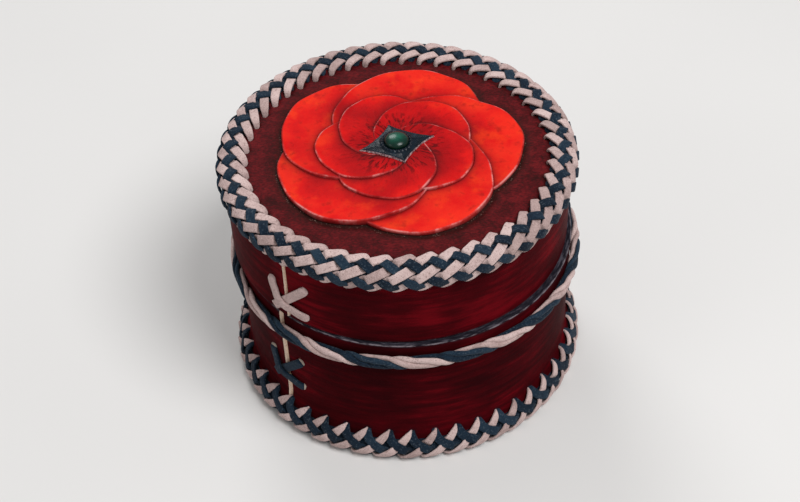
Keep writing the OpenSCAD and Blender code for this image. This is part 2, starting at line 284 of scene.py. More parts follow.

# %% [markdown]
# ## Dark leather
#
# The discs of the lid and of the floor are darker and less shiny. Round the flower the background
# was beaten down and rubbed with dark paste, and a few pale fibres show where the knife cut the
# outline. The speckle is fine noise, and the paste follows the mark that the mesh carries. The same
# mark also paints shade into the slots and onto the leather under the laces.

# %% Dark leather
def dark_leather():
    material, place = start_finish("dark_leather", Specular_IOR_Level=0.04)
    blots = cloud(place, 6, 5, 0.65)
    specks = cloud(scaled(place, (1, 1.7, 1)), 1.0, 3, 0.7)
    dye = (blots * 0.5 + specks * 0.5).between(0.34, 0.68)
    colour = ramp(dye, (0.0, rgb(0.030, 0.005, 0.005)), (0.5, rgb(0.080, 0.006, 0.008)),
                  (1.0, rgb(0.150, 0.010, 0.012)))
    dark = mark(place, "dark")
    # the dark mark: paste round the flower, and painted shade in the slots and under the laces
    colour = blend(colour, rgb(0.022, 0.010, 0.008), dark)
    pale = cloud(place, 0.55, 2).between(0.62, 0.7) * dark.between(0.45, 0.8)
    colour = blend(colour, rgb(0.34, 0.22, 0.18), pale * 0.5)
    roughness = 0.52 + 0.2 * specks
    put_on(material, place, colour, roughness, pebbles(place, 1.1) * 0.6 + specks, 0.14)
    return material


dark_skin = dark_leather()

# %% [markdown]
# ## Red leather
#
# The petals are tooled leather, dyed from deep red at the heart to orange at the rims, with hair-fine
# darker strokes that run outwards, and dabs of orange away from the heart. Noise that is read along
# the direction from the middle gives the strokes. The knife left thin pale lines along the rims, and
# dark paste and painted shade lie along their feet. The lid doesn't sit quite in the middle of the
# base, so the recipe counts from the middle of the lid.

# %% Red leather
LID_SHIFT = np.array([-1.5, 1.7, 0.0])


def from_lid_middle(place):
    """Place on the lid's plane, and its distance from the middle of the lid."""
    flat = scaled(vector(place, "SUBTRACT", LID_SHIFT * MM), (1, 1, 0))
    return flat, vector(flat, "LENGTH").out("Value")


def red_leather():
    material, place = start_finish("red_leather", Specular_IOR_Level=0.02)
    flat, reach = from_lid_middle(place)
    strokes = streaky(vector(flat, "NORMALIZE"), reach * 30, 13.0, 3.0, 0.55)
    pools = cloud(place, 12, 3)
    bloom = reach * 15 + pools * 0.9 + strokes * 0.3
    colour = ramp(bloom.between(0.5, 1.3), (0.0, rgb(0.29, 0.005, 0.007)),
                  (0.4, rgb(0.46, 0.006, 0.008)), (0.75, rgb(0.67, 0.010, 0.009)),
                  (1.0, rgb(0.80, 0.026, 0.013)))
    dabs = cloud(place, 9, 4, 0.6).between(0.5, 0.72) * reach.between(0.016, 0.03)
    colour = blend(colour, rgb(0.87, 0.055, 0.012), dabs * 0.6)
    colour = blend(colour, rgb(0.17, 0.004, 0.006), strokes.between(0.50, 0.75) * 0.5)
    heart = (1 - reach.between(0.010, 0.018)) * strokes.between(0.46, 0.62)
    colour = blend(colour, rgb(0.07, 0.004, 0.005), heart * 0.85)
    # the dark mark: paste and painted shade where a neighbour's edge stands over, painted shade on cut
    # edges
    colour = blend(colour, rgb(0.060, 0.006, 0.007), mark(place, "dark"))
    rim = ramp(cloud(place, 10, 5, 0.7).between(0.36, 0.66), (0.0, rgb(0.16, 0.012, 0.012)),
               (0.5, rgb(0.42, 0.05, 0.05)), (1.0, rgb(0.70, 0.32, 0.30)))
    colour = blend(colour, rim, mark(place, "worn") * 0.85)
    roughness = 0.46 + 0.12 * pools
    put_on(material, place, colour, roughness, strokes + cloud(place, 1.3, 3) * 0.4, 0.22)
    return material


red_skin = red_leather()

# %% [markdown]
# ## Suede laces
#
# Suede has a short nap: it is matt, slightly lighter where light grazes it, and speckled by fibres.
# Sheen gives the graze. Every lace was cut from another place of the hide, so a number that differs
# from lace to lace shifts its tone a little. Small flecks stay in the nap, dark or light.

# %% Suede laces
def suede_lace(name, shadow, middle, light, fleck):
    material, place = start_finish(name, Specular_IOR_Level=0.05, Sheen_Weight=0.06,
                                   Sheen_Roughness=0.5)
    nap = cloud(place, 0.42, 3, 0.7)
    patch = cloud(place, 3.2, 3)
    tone = nap * 0.5 + patch * 0.3 + mark(place, "tone") * 0.2
    colour = ramp(tone.between(0.3, 0.75), (0.0, shadow), (0.5, middle), (1.0, light))
    flecks = cloud(place, 0.6, 2, 0.6).between(0.57, 0.67)
    colour = blend(colour, fleck, flecks * 0.6)
    colour = blend(colour, RAW, mark(place, "raw"))
    roughness = 0.8 + 0.16 * nap
    put_on(material, place, colour, roughness, nap + patch * 0.4, 0.16)
    return material


beige_suede = suede_lace("beige_lace", rgb(0.36, 0.255, 0.24), rgb(0.55, 0.405, 0.385),
                         rgb(0.66, 0.51, 0.485), rgb(0.24, 0.155, 0.14))
navy_suede = suede_lace("navy_lace", rgb(0.006, 0.011, 0.020), rgb(0.011, 0.023, 0.040),
                        rgb(0.022, 0.042, 0.066), rgb(0.070, 0.092, 0.115))

# %% [markdown]
# ## The mount, the stone and the inside
#
# The lozenge under the stone is navy leather with a faint shine, its rim worn to pale fibres, and a
# dark ring of painted shade lies round the stone. The stone is an opaque green cabochon, darker
# towards its girdle. The lip inside the lid and its packing are undyed leather, and both lining pads
# are brown suede. They are seldom seen, but they show as soon as the lid is lifted.

# %% Mount, stone and inside
def navy_leather():
    material, place = start_finish("navy_leather", Specular_IOR_Level=0.14, Coat_Weight=0.05,
                                   Coat_Roughness=0.12)
    pools = cloud(place, 3.5, 4, 0.6)
    colour = ramp(pools.between(0.3, 0.75), (0.0, rgb(0.003, 0.006, 0.010)),
                  (0.6, rgb(0.006, 0.013, 0.022)), (1.0, rgb(0.022, 0.048, 0.072)))
    # the dark mark: painted shade round the stone's edge
    colour = blend(colour, BURNISH_AND_SHADE, mark(place, "dark"))
    fibre = cloud(place, 0.6, 4, 0.7)
    worn = mark(place, "worn")
    rim = blend(rgb(0.10, 0.05, 0.06), rgb(0.55, 0.40, 0.40), fibre.between(0.4, 0.6))
    colour = blend(colour, rim, worn)
    put_on(material, place, colour, 0.2 + 0.15 * pools + 0.3 * worn, fibre * 0.5 + pools, 0.12)
    return material


def green_stone():
    material, place = start_finish("green_stone", Specular_IOR_Level=0.3, Coat_Weight=0.06,
                                   Coat_Roughness=0.15)
    veil = cloud(place, 2.4, 4, 0.6)
    depth = veil * 0.8 - from_lid_middle(place)[1] * 180
    colour = ramp(depth.between(-0.45, 0.4), (0.0, rgb(0.001, 0.014, 0.009)),
                  (0.55, rgb(0.002, 0.042, 0.026)), (1.0, rgb(0.005, 0.092, 0.055)))
    put_on(material, place, colour, 0.2 + 0.1 * veil, veil, 0.02)
    return material


def plain_hide(name, shadow, light, size, rough):
    """Undyed leather or lining suede: one hue, fibres of this size in millimetres, no shine."""
    material, place = start_finish(name, Specular_IOR_Level=0.2, Sheen_Weight=0.15)
    fibre = cloud(place, size, 4, 0.7)
    patch = cloud(place, 12, 3)
    colour = ramp((fibre * 0.6 + patch * 0.4).between(0.3, 0.7), (0.0, shadow), (1.0, light))
    colour = blend(colour, BURNISH_AND_SHADE, mark(place, "dark"))
    put_on(material, place, colour, rough + 0.15 * fibre, fibre, 0.2)
    return material


navy_skin = navy_leather()
polished_green = green_stone()
raw_hide = plain_hide("raw_leather", rgb(0.30, 0.17, 0.11), rgb(0.55, 0.36, 0.25), 1.1, 0.6)
lining_suede = plain_hide("suede_lining", rgb(0.16, 0.095, 0.07), rgb(0.33, 0.215, 0.16), 0.5, 0.8)

# %% [markdown]
# ## Grids of points
#
# Every piece below is a grid of points that a formula bends into shape. It could be pushed about with
# modifiers, but a formula in millimetres can use the same sizes as the solids. These helpers list the
# faces of a grid, close it with caps, turn a profile round the axis as a lathe does, and give the slow
# unevenness that leather has.

# %% Grids
UP = np.array([0.0, 0.0, 1.0])


def quads(rows, columns, loop_rows=False, loop_columns=False):
    """Faces of a grid of points that are listed row after row. A loop joins the last to the first."""
    grid = np.arange(rows * columns).reshape(rows, columns)
    if loop_rows:
        grid = np.vstack([grid, grid[:1]])
    if loop_columns:
        grid = np.hstack([grid, grid[:, :1]])
    corners = (grid[:-1, :-1], grid[:-1, 1:], grid[1:, 1:], grid[1:, :-1])
    return np.stack(corners, -1).reshape(-1, 4).tolist()


def capped(rows, columns):
    """Faces of a row of rings that is closed by a cap on its first and its last ring."""
    last = (rows - 1) * columns
    caps = [list(range(columns)), list(range(last, last + columns))]
    return quads(rows, columns, loop_columns=True) + caps


def shifted(faces, start):
    """The same faces for points that start later in a list."""
    return [[k + start for k in face] for face in faces]


def outward(angle):
    return np.stack([np.cos(angle), np.sin(angle), np.zeros_like(angle)], -1)


def round_angles(count):
    """Angles of points that lie evenly round the axis."""
    return 2 * np.pi * np.arange(count) / count


def turned(loop, columns):
    """Rings of points of a profile of radius and height that is turned about the axis."""
    reach, level = np.array(loop).T
    return reach[:, None, None] * outward(round_angles(columns)) + level[:, None, None] * UP


def unit(vectors):
    return vectors / np.linalg.norm(vectors, axis=-1, keepdims=True)


def uneven(points, size):
    """Noise from -1 to 1 at points in millimetres, with swells of about this size."""
    return np.array([noise.noise(Vector(p) / size) for p in points.reshape(-1, 3)]).reshape(
        points.shape[:-1])


print("A grid of 3 by 4 points has", len(quads(3, 4)), "faces")

# %% [markdown]
# ## From points to pieces
#
# A piece needs a mesh with its faces turned outwards, edges that stay hard, its marks and its finish.
# It then rides on its body and takes the place of its solid, so that it moves as the solid does. All
# of that could be done piece by piece, but one function keeps the pieces alike. What belongs to the
# lid moves off the middle with it.

# %% Pieces
HARD_ANGLE = math.radians(50)


def piece(name, node, body, slot, material, points, faces, raw=None, **marks):
    """A new piece that stands for a node. raw marks faces, and the other marks are for points."""
    mesh = bpy.data.meshes.new(name)
    points = np.asarray(points, float).reshape(-1, 3) + LID_SHIFT * (body == "lid")
    mesh.from_pydata((points * MM).tolist(), [], faces)
    shell = bmesh.new()
    shell.from_mesh(mesh)
    bmesh.ops.recalc_face_normals(shell, faces=shell.faces)
    shell.to_mesh(mesh)
    shell.free()
    mesh.shade_smooth()
    mesh.set_sharp_from_angle(angle=HARD_ANGLE)
    if raw is not None:
        mesh.attributes.new("raw", "FLOAT", "FACE").data.foreach_set("value", np.ravel(raw))
    for mark_name, values in marks.items():
        mesh.attributes.new(mark_name, "FLOAT", "POINT").data.foreach_set("value", np.ravel(values))
    mesh.materials.append(material)
    made = bpy.data.objects.new(name, mesh)
    bpy.context.scene.collection.objects.link(made)
    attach(made, body)
    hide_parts(node)
    print(name, "has", len(mesh.polygons), "faces")
    return made


print("The lid's pieces move by", LID_SHIFT.tolist(), "mm")

# %% [markdown]
# ## The laced edges
#
# A laced edge has a flat face, a round corner and a wall. The weave counts rows across it: where a
# lace passes a row, it lies over or under the other colour. The beige laces lean one way and the navy
# ones the other way, and 48 stitches close the ring. Rows could be spaced evenly, as in the solids, but
# pulled laces crowd at the corner and slip a little, so each edge tells where its rows lie. It also
# tells where the weave bulges off the leather, because laces don't lie tight round a corner.

# %% The line of an edge
LID_RADIUS, LID_WALL, LID_Z, LID_TOP, LID_TOP_THICK = 53.4, 3.1, 49.55, 78.25, 3.2
FLOOR_RADIUS, FLOOR_Z, FLOOR_THICK, FOOT_LEAN = 55.6, 2.41, 3.4, math.radians(18)
CORNER, BEND_RADIUS = 2.0, 3.205
STITCHES, MIDDLE_ROW = 48, 3
STITCH = 2 * math.pi / STITCHES
ROW_BLUR = (-0.2, 0, 0.2)

# face is the height of the flat face and looks its way, lean is the slope of the wall, places tells
# where rows 0 to 6 lie, counted from the face to the wall, turn moves all stitches by a share of one,
# slip moves the weave down in front and up behind, and each bulge has a height, a place and a width
Edge = namedtuple("Edge", "radius face looks lean places turn slip bulges")
LID_EDGE = Edge(LID_RADIUS, LID_TOP, 1, 0.0, (-6.05, -3.05, -0.25, 2.0, 4.3, 7.3, 10.1), -0.06, 1.25,
                ((0.8, 0.2, 1.6), (0.45, 5.4, 1.9)))
BASE_EDGE = Edge(FLOOR_RADIUS, FLOOR_Z, -1, FOOT_LEAN, (17.0, 12.0, 6.5, 4.0, 0.3, -3.5, -7.0), -0.18,
                 0.0, ((0.9, 3.0, 2.6), (0.5, -1.5, 2.0)))

# lean tells how many stitches a lace moves back from row to row, and sway lets it lie flatter where it
# is seen. Rows before the first number of curl drift sideways, and the second one tells how fast
Lace = namedtuple("Lace", "lean sway curl wide")
LID_BEIGE, BASE_BEIGE = Lace(0.6, 0.04, (1.0, 0.1), 2.85), Lace(0.6, 0.04, (0, 0), 2.85)
LID_NAVY, BASE_NAVY = Lace(-0.4, 0.09, (1.9, -0.1), 2.9), Lace(-0.4, 0.14, (0, 0), 2.9)
STRAIGHT = Lace(0.0, 0.0, (0, 0), 0.0)


def edge_line(edge, lace, rows, shift=0.0):
    """Points on the leather where each stitch passes the rows, the way off the leather, and the bulge."""
    rows = np.asarray(rows, float)
    stitch = np.arange(1, STITCHES + 1)[:, None]
    drift = lace.curl[1] * np.maximum(lace.curl[0] - rows, 0) ** 2
    course = stitch + edge.turn - lace.lean * (rows - MIDDLE_ROW)
    course = course + lace.sway * np.sin(np.pi * rows) + drift
    angle = course * STITCH + shift
    numbers = range(len(edge.places))
    place = np.mean([np.interp(rows + blur, numbers, edge.places) for blur in ROW_BLUR], axis=0)
    place = place - edge.slip * np.sin(angle)
    whole = math.pi / 2 + edge.lean
    bend = np.clip(place / (BEND_RADIUS * whole), 0, 1) * whole
    past = np.maximum(place - BEND_RADIUS * whole, 0)
    reach = (edge.radius - CORNER * (1 - np.sin(bend)) + np.minimum(place, 0)
             - past * math.sin(edge.lean))
    height = edge.face - edge.looks * (CORNER * (1 - np.cos(bend)) + past * math.cos(edge.lean))
    points = reach[..., None] * outward(angle) + height[..., None] * UP
    normals = np.sin(bend)[..., None] * outward(angle) + (edge.looks * np.cos(bend))[..., None] * UP
    bulge = sum(high * np.exp(-((place - spot) / wide) ** 2) for high, spot, wide in edge.bulges)
    return points, normals, bulge


print("Stitches:", STITCHES, "each", round(2 * math.pi * LID_RADIUS / STITCHES, 2), "mm wide")

# %% [markdown]
# ## The woven laces
#
# A lace is a flat strip of suede with crisp edges. It comes out of a slot, climbs over the other
# colour, dips under it, and goes back into the leather. A curve with a bevel could give such a strip,
# but it would roll at the corner. Here a smooth line through a few knots of row, height and width gives
# the run, and the strip keeps flat to the leather under it. This weave takes more skill than any other
# part of the box.

# %% Lace strips
LACE_THICK, SIDES = 0.85, 12
LOW, HIGH = 0.5, 1.42


def smooth_run(knots, steps=4):
    """Points on a smooth line through the knots."""
    knots = np.asarray(knots, float)
    padded = np.vstack([2 * knots[0] - knots[1], knots, 2 * knots[-1] - knots[-2]])
    run = []
    for a, b, c, d in zip(padded, padded[1:], padded[2:], padded[3:]):
        for t in np.arange(steps) / steps:
            run.append(b + 0.5 * t * (c - a + t * (2 * a - 5 * b + 4 * c - d
                                                   + t * (3 * (b - c) + d - a))))
    return np.array(run + [knots[-1]])


def strip(middle, normals, flat, width):
    """Rings of points round strips of lace. flat is the line that each strip follows on the leather."""
    forward = unit(np.gradient(middle, axis=1))
    across = unit(np.cross(normals, np.gradient(flat, axis=1)))
    through = np.cross(forward, across)
    turn = 2 * np.pi * (np.arange(SIDES) + 0.5) / SIDES
    a = np.sign(np.cos(turn)) * np.abs(np.cos(turn)) ** 0.25
    b = np.sign(np.sin(turn)) * np.abs(np.sin(turn)) ** 0.45
    half, deep = np.asarray(width)[..., None, None] / 2, LACE_THICK / 2
    return (middle[:, :, None] + half * a[:, None] * across[:, :, None]
            + deep * b[:, None] * through[:, :, None])


def weave(first, over, crest, dip):
    """Knots from a row to row 4: high as far as the crest on both sides of the rows that the lace
    passes over, low as far as the dip where it passes under."""
    knots = []
    for row in range(first, 5):
        if row in over:
            knots += [(row - crest, HIGH - 0.05, 1), (row, HIGH, 1), (row + crest, HIGH - 0.05, 1)]
        else:
            knots += [(row - dip, LOW, 1), (row + dip, LOW, 1)]
    return knots


print("Laces in mm:", LID_BEIGE.wide, "and", LID_NAVY.wide, "wide,", LACE_THICK, "thick")

# %% [markdown]
# ## A ring of laces
#
# All laces of a ring share one run, so one function makes the ring. Laces worked by hand don't lie
# quite alike, so each gets a little of its own width, drift and tone. Hardly any leather shows through
# the real weave, where navy laces lie packed in its depth. Modelling them all would add nothing to see,
# so a thin navy bed fills the gaps instead, its tone set darker as painted shade.

# %% Ring of laces
chance = np.random.default_rng(7)
HAND_DRIFT, HAND_LIFT, HAND_WIDTH = 0.03, 0.02, 0.025
# BED_SHADE_TONE is a low lace tone for the bed: painted shade for laces deep in the weave
BED_ROWS, BED_STEPS, BED_RISE, BED_SINK, BED_DEPTH, BED_SHADE_TONE = 16, 4, 0.8, 0.1, 0.3, 0.2


def lace_bed(edge, first, last):
    """A thin ring on the leather between two rows, under the weave and as high as its bulges."""
    rows = np.linspace(first, last, BED_ROWS)
    parts = [edge_line(edge, STRAIGHT, rows, k * STITCH / BED_STEPS) for k in range(BED_STEPS)]
    flat, normals, bulge = (np.stack(part, 1).reshape(BED_STEPS * STITCHES, BED_ROWS, -1)
                            for part in zip(*parts))
    rise = np.clip(2 * np.minimum(rows - first, last - rows), 0, 1)[:, None]
    over = flat + (rise * (BED_RISE + bulge) - BED_SINK) * normals
    return np.concatenate([over, (flat - BED_DEPTH * normals)[:, ::-1]], 1)


def woven_laces(name, node, body, slot, material, edge, lace, knots, bed=()):
    """A ring of laces, one for each stitch, in the place of a node, and the bed between two rows."""
    rows, heights, share = smooth_run(knots).T
    drift = chance.normal(0, HAND_DRIFT, (STITCHES, 1)) * STITCH
    flat, normals, bulge = edge_line(edge, lace, rows, drift)
    lift = heights + bulge * np.clip(heights / LOW, 0, 1) + chance.normal(0, HAND_LIFT, (STITCHES, 1))
    middle = flat + lift[:, :, None] * normals
    width = lace.wide * share * (1 + chance.normal(0, HAND_WIDTH, (STITCHES, 1)))
    strips = strip(middle, normals, flat, width)
    tone = np.broadcast_to(chance.random((STITCHES, 1, 1)), strips.shape[:3]).ravel()
    points, faces = strips.reshape(-1, 3), []
    for start in range(0, len(points), len(rows) * SIDES):
        faces += shifted(capped(len(rows), SIDES), start)
    if bed:
        ring = lace_bed(edge, *bed)
        faces += shifted(quads(*ring.shape[:2], True, True), len(points))
        tone = np.concatenate([tone, np.full(ring[..., 0].size, BED_SHADE_TONE)])
        points = np.vstack([points, ring.reshape(-1, 3)])
    return piece(name, node, body, slot, material, points, faces, tone=tone)


print("Laces in a ring:", STITCHES)

# %% [markdown]
# ## Four rings of laces
#
# On the lid, beige laces rise from slots in the top as short arched tips, and end in the wall. On the
# base, they show as leaf-shaped tips on the wall and run under the floor. Each list below is one lace:
# the knots of its first end, the woven rows, and the knots of its last end. The two navy rings also
# bring the bed, from one row to another.

# %% Woven laces
navy_rows = weave(2, (2, 4), 0.40, 0.36)
lid_beige_run = ([(0.34, -1.2, 0.62), (0.38, -0.2, 0.68), (0.46, 0.7, 0.8), (0.62, 1.2, 0.92),
                  (0.85, HIGH + 0.04, 1), (1.15, HIGH + 0.06, 1), (1.5, HIGH - 0.05, 1)]
                 + weave(2, (3,), 0.46, 0.3)
                 + [(4.5, 0.6, 0.85), (4.8, 0.8, 0.72), (5.05, 0.6, 0.62), (5.22, 0.1, 0.55),
                    (5.3, -0.6, 0.45)])
lid_navy_run = ([(0.74, -0.8, 0.8), (0.8, 0.1, 0.9), (1.0, 0.45, 1), (1.35, LOW, 1)] + navy_rows[:2]
                + [(2.32, HIGH - 0.12, 0.94), (2.58, LOW + 0.05, 0.84), (3.4, LOW, 0.85),
                   (3.68, 1.0, 0.86), (4, HIGH, 1), (4.4, HIGH - 0.05, 1), (4.75, 1.15, 0.97),
                   (4.95, 0.6, 0.88), (5.05, -0.1, 0.8), (5.1, -0.6, 0.7)])
base_beige_run = ([(1.06, -0.7, 0.25), (1.10, 0.2, 0.36), (1.2, 0.85, 0.62), (1.36, 1.3, 0.8),
                   (1.52, HIGH, 0.88), (1.68, HIGH - 0.1, 0.95)] + weave(2, (3,), 0.46, 0.13)
                  + [(4.5, 0.4, 0.9), (4.58, -0.1, 0.8), (4.62, -0.7, 0.7)])
base_navy_run = ([(1.08, -0.8, 0.6), (1.13, 0.1, 0.75), (1.22, 0.6, 0.9), (1.36, 0.95, 1)] + navy_rows
                 + [(4.6, 0.8, 0.9), (4.66, 0, 0.8), (4.7, -0.7, 0.7)])

woven_laces("lid_laces_beige", "lid_lace_beige", "lid", "beige_lace", beige_suede, LID_EDGE, LID_BEIGE,
            lid_beige_run)
woven_laces("lid_laces_navy", "lid_lace_navy", "lid", "navy_lace", navy_suede, LID_EDGE, LID_NAVY,
            lid_navy_run, (1.1, 5.0))
woven_laces("base_laces_beige", "base_lace_beige", "base", "beige_lace", beige_suede, BASE_EDGE,
            BASE_BEIGE, base_beige_run)
woven_laces("base_laces_navy", "base_lace_navy", "base", "navy_lace", navy_suede, BASE_EDGE, BASE_NAVY,
            base_navy_run, (1.5, 4.5))

# %% [markdown]
# ## The twisted cord
#
# Under the rim lies a cord of four strands, two beige and two navy, twisted so that each colour shows
# as a long slanted lobe in two steps. A strand could be a round tube, but strands press each other
# flat, so its cut is an ellipse that turns with the twist, and the whole cord is pressed on the wall.
# The twist hurries twice in each turn, which makes the lobes end bluntly, and slow swells keep the cord
# from looking drawn by machine.

# %% Twisted cord
CORD_RING, CORD_Z, CORD_TURNS, CORD_RADIUS, CORD_FLATNESS = 54.7, 43.6, 12, 2.4, 0.69
CORD_WAVE, TWIST_WANDER, TWIST_HURRY = 0.5, 0.12, 0.36
STRAND_THICK, STRAND_WIDE, STRAND_SIDES, STRAND_TONES = 0.98, 1.02, 14, (0.3, 0.95)
TURN_STEPS = 30


def cord_strands(name, node, slot, material, strands):
    count = CORD_TURNS * TURN_STEPS
    angle = round_angles(count)
    wave = CORD_WAVE * np.sin(2 * angle - 2.0)
    round_line = CORD_RING * outward(angle) + (CORD_Z + wave)[:, None] * UP
    hurry = TWIST_HURRY * np.sin(2 * (CORD_TURNS * angle - 0.75 * np.pi))
    turn = round_angles(STRAND_SIDES)
    points, faces = [], []
    for strand in strands:
        twist = strand * np.pi / 2 - CORD_TURNS * angle + TWIST_WANDER * np.sin(7 * angle) - hurry
        away = np.cos(twist)[:, None] * outward(angle) + np.sin(twist)[:, None] * UP
        middle = (CORD_RADIUS - STRAND_THICK) * away
        along = unit(np.roll(round_line + middle, -1, 0) - np.roll(round_line + middle, 1, 0))
        wide = unit(np.cross(along, away))
        swell = 1 + 0.1 * np.sin(angle * 31 + strand * 2.1) + 0.08 * np.sin(angle * 83 + strand)
        ring = (middle[:, None] + STRAND_THICK * np.sin(turn)[:, None] * away[:, None]
                + (STRAND_WIDE * swell)[:, None, None] * np.cos(turn)[:, None] * wide[:, None])
        pressed = np.sum(ring * outward(angle)[:, None], -1, keepdims=True) * outward(angle)[:, None]
        ring = ring - (1 - CORD_FLATNESS) * pressed + round_line[:, None]
        faces += shifted(quads(count, STRAND_SIDES, True, True), len(points) * count * STRAND_SIDES)
        points.append(ring)
    tone = np.repeat(STRAND_TONES, count * STRAND_SIDES)
    return piece(name, node, "base", slot, material, points, faces, tone=tone)


cord_strands("cord_strands_beige", "cord_beige", "beige_lace", beige_suede, (0, 1))
cord_strands("cord_strands_navy", "cord_navy", "navy_lace", navy_suede, (2, 3))

# %% [markdown]
# ## The cross stitches
#
# One crossed stitch of lace holds each butt seam shut: beige on the lid, navy on the base. One leg
# lies flat and the other one bows over it, and all four ends go into punched holes. Two bent boxes
# would do from afar, but strips like the woven ones, with their own path on the wall, also show how
# the lace dips into its holes. There the navy lace shows a little pale where it was cut.

# %% Cross stitches
BASE_RADIUS, BASE_WALL, BASE_HEIGHT = 53.2, 3.0, 49.5
STITCH_SPAN, OVER_FALL, OVER_BOW, UNDER_RISE = 12.5, 10.0, 2.4, 13.0
STITCH_WIDE, STITCH_NARROWS, STITCH_TONE, PALE_BELOW = 3.0, 0.875, 0.6, 0.12
LID_SEAM, BASE_SEAM = math.radians(-129.5), math.radians(-135.6)
LID_STITCH_Z, BASE_STITCH_Z = LID_Z + 8.6, 24.4
LID_CROSS = LID_SEAM + math.radians(0.8)


def stitch_leg(radius, seam, middle_z, fall, bow, knots):
    """Path of one leg. The knots give share of the leg and height over the leather."""
    share, height = smooth_run(knots, 6).T
    sag = bow * (1 - share ** 2)
    angle = seam + (share * STITCH_SPAN / 2 - sag) / radius
    level = middle_z - share * fall / 2 - 0.8 * sag
    flat = radius * outward(angle) + level[:, None] * UP
    return flat, outward(angle), height


def cross_stitch(name, node, body, slot, material, radius, seam, middle_z, pale_ends):
    start = [(-1.04, -0.9), (-1.0, 0.1), (-0.9, 0.5)]
    end = [(-share, height) for share, height in start[::-1]]
    under = start + [(-0.4, 0.52), (0.0, 0.5), (0.4, 0.52)] + end
    over = start + [(-0.5, 0.75), (-0.2, 1.38), (0.0, 1.45), (0.2, 1.38), (0.5, 0.75)] + end
    points, faces, raw = np.empty((0, 3)), [], []
    for fall, bow, knots in ((-UNDER_RISE, 0.0, under), (OVER_FALL, OVER_BOW, over)):
        flat, normals, height = stitch_leg(radius, seam, middle_z, fall, bow, knots)
        middle = flat + height[:, None] * normals
        width = STITCH_WIDE - STITCH_NARROWS * np.clip((0.5 - height) / 1.2, 0, 1)
        rings = strip(middle[None], normals[None], flat[None], width[None])
        faces += shifted(capped(len(height), SIDES), len(points))
        points = np.vstack([points, rings.reshape(-1, 3)])
        raw += (np.repeat(height[:-1] < PALE_BELOW, SIDES) * pale_ends).tolist() + [0.0, 0.0]
    return piece(name, node, body, slot, material, points, faces, raw=raw,
                 tone=np.full(len(points), STITCH_TONE))


cross_stitch("lid_stitch", "lid_cross_stitch", "lid", "beige_lace", beige_suede,
             LID_RADIUS, LID_CROSS, LID_STITCH_Z, 0.0)
cross_stitch("base_stitch", "base_cross_stitch", "base", "navy_lace", navy_suede,
             BASE_RADIUS, BASE_SEAM, BASE_STITCH_Z, 0.6)

# %% [markdown]
# ## The punched holes
#
# Laces go into punched holes, and the leather sinks in round each one. Holes could be cut right through
# the walls, but laces fill them, so a dimple with painted shade in it is all that shows. The holes of the
# woven laces lie where these end, and so they follow from the same lines.

# %% Punched holes
def holes(edge, lace, row):
    return edge_line(edge, lace, [row])[0].reshape(-1, 3)


def stitch_holes(radius, seam, middle_z):
    spots = [(x, -x * fall / 2) for x in (-1, 1) for fall in (OVER_FALL, -UNDER_RISE)]
    return np.array([radius * outward(np.array(seam + x * STITCH_SPAN / 2 / radius))
                     + (middle_z + z) * UP for x, z in spots])


def near(points, spots):
    """Distance from each point to the nearest of the spots."""
    tree = KDTree(len(spots))
    for i, spot in enumerate(spots):
        tree.insert(spot, i)
    tree.balance()
    flat = points.reshape(-1, 3)
    return np.array([tree.find(p)[2] for p in flat]).reshape(points.shape[:-1])


lid_spots = np.vstack([holes(LID_EDGE, LID_BEIGE, 5.25), holes(LID_EDGE, LID_NAVY, 5.05),
                       stitch_holes(LID_RADIUS, LID_CROSS, LID_STITCH_Z)])
base_spots = np.vstack([holes(BASE_EDGE, BASE_BEIGE, 1.08), holes(BASE_EDGE, BASE_NAVY, 1.1),
                        stitch_holes(BASE_RADIUS, BASE_SEAM, BASE_STITCH_Z)])
print("Holes in the walls:", len(lid_spots), "and", len(base_spots))

# %% [markdown]
# ## The walls
#
# Each wall is one strip of thick leather bent into a drum, and the base's flares at its foot. Its ends
# don't quite meet on the outside, so a narrow groove with pale cut faces runs down the seam, and one
# end stands a little proud. The rim is flat and burnished, with a worn outer corner, and small holes
# dimple the leather where laces go in. All of that is in the grid of points, because a flat ring with a
# painted seam would look dead from the side.

# %% Walls
ROUND, GROOVE_DEPTH, PROUD, PROUD_FADE = 0.35, 1.0, 0.4, 3.5
PIT_DEPTH, PIT_WIDTH, SWELL, SWELL_SIZE = 0.5, 0.85, 0.16, 21.0
WALL_COLUMNS, WALL_STEP, SEAM_SIDE, EDGE_EASE, LACED_FADE = 620, 0.6, 1.8, 3.0, 1.2
FOOT_TOP, FOOT_SOFT = 12.11, 1.2


def flared(level):
    """How far the base's wall stands out at a height: not at all above its foot."""
    return math.tan(FOOT_LEAN) * FOOT_SOFT * np.log1p(np.exp((FOOT_TOP - level) / FOOT_SOFT))


def wall_profile(outer, thick, low, high):
    """The cut of a wall with rounded corners, as a closed loop of radius and height."""
    inner, left, right = outer - thick, outer - thick + ROUND, outer - ROUND
    bottom, top = low + ROUND, high - ROUND
    fine = int((high - low) / WALL_STEP)
    corners = ((right, top), (left, top), (left, bottom), (right, bottom))
    sides = (np.linspace((right, high), (left, high), 8), np.linspace((inner, top), (inner, bottom), 24),
             np.linspace((left, low), (right, low), 8), np.linspace((outer, bottom), (outer, top), fine))
    loop = []
    for quarter, (middle, side) in enumerate(zip(corners, sides)):
        bend = np.linspace(0, np.pi / 2, 5) + quarter * np.pi / 2
        loop += [middle + ROUND * outward(bend)[:, :2], side[1:-1]]
    return np.vstack(loop)


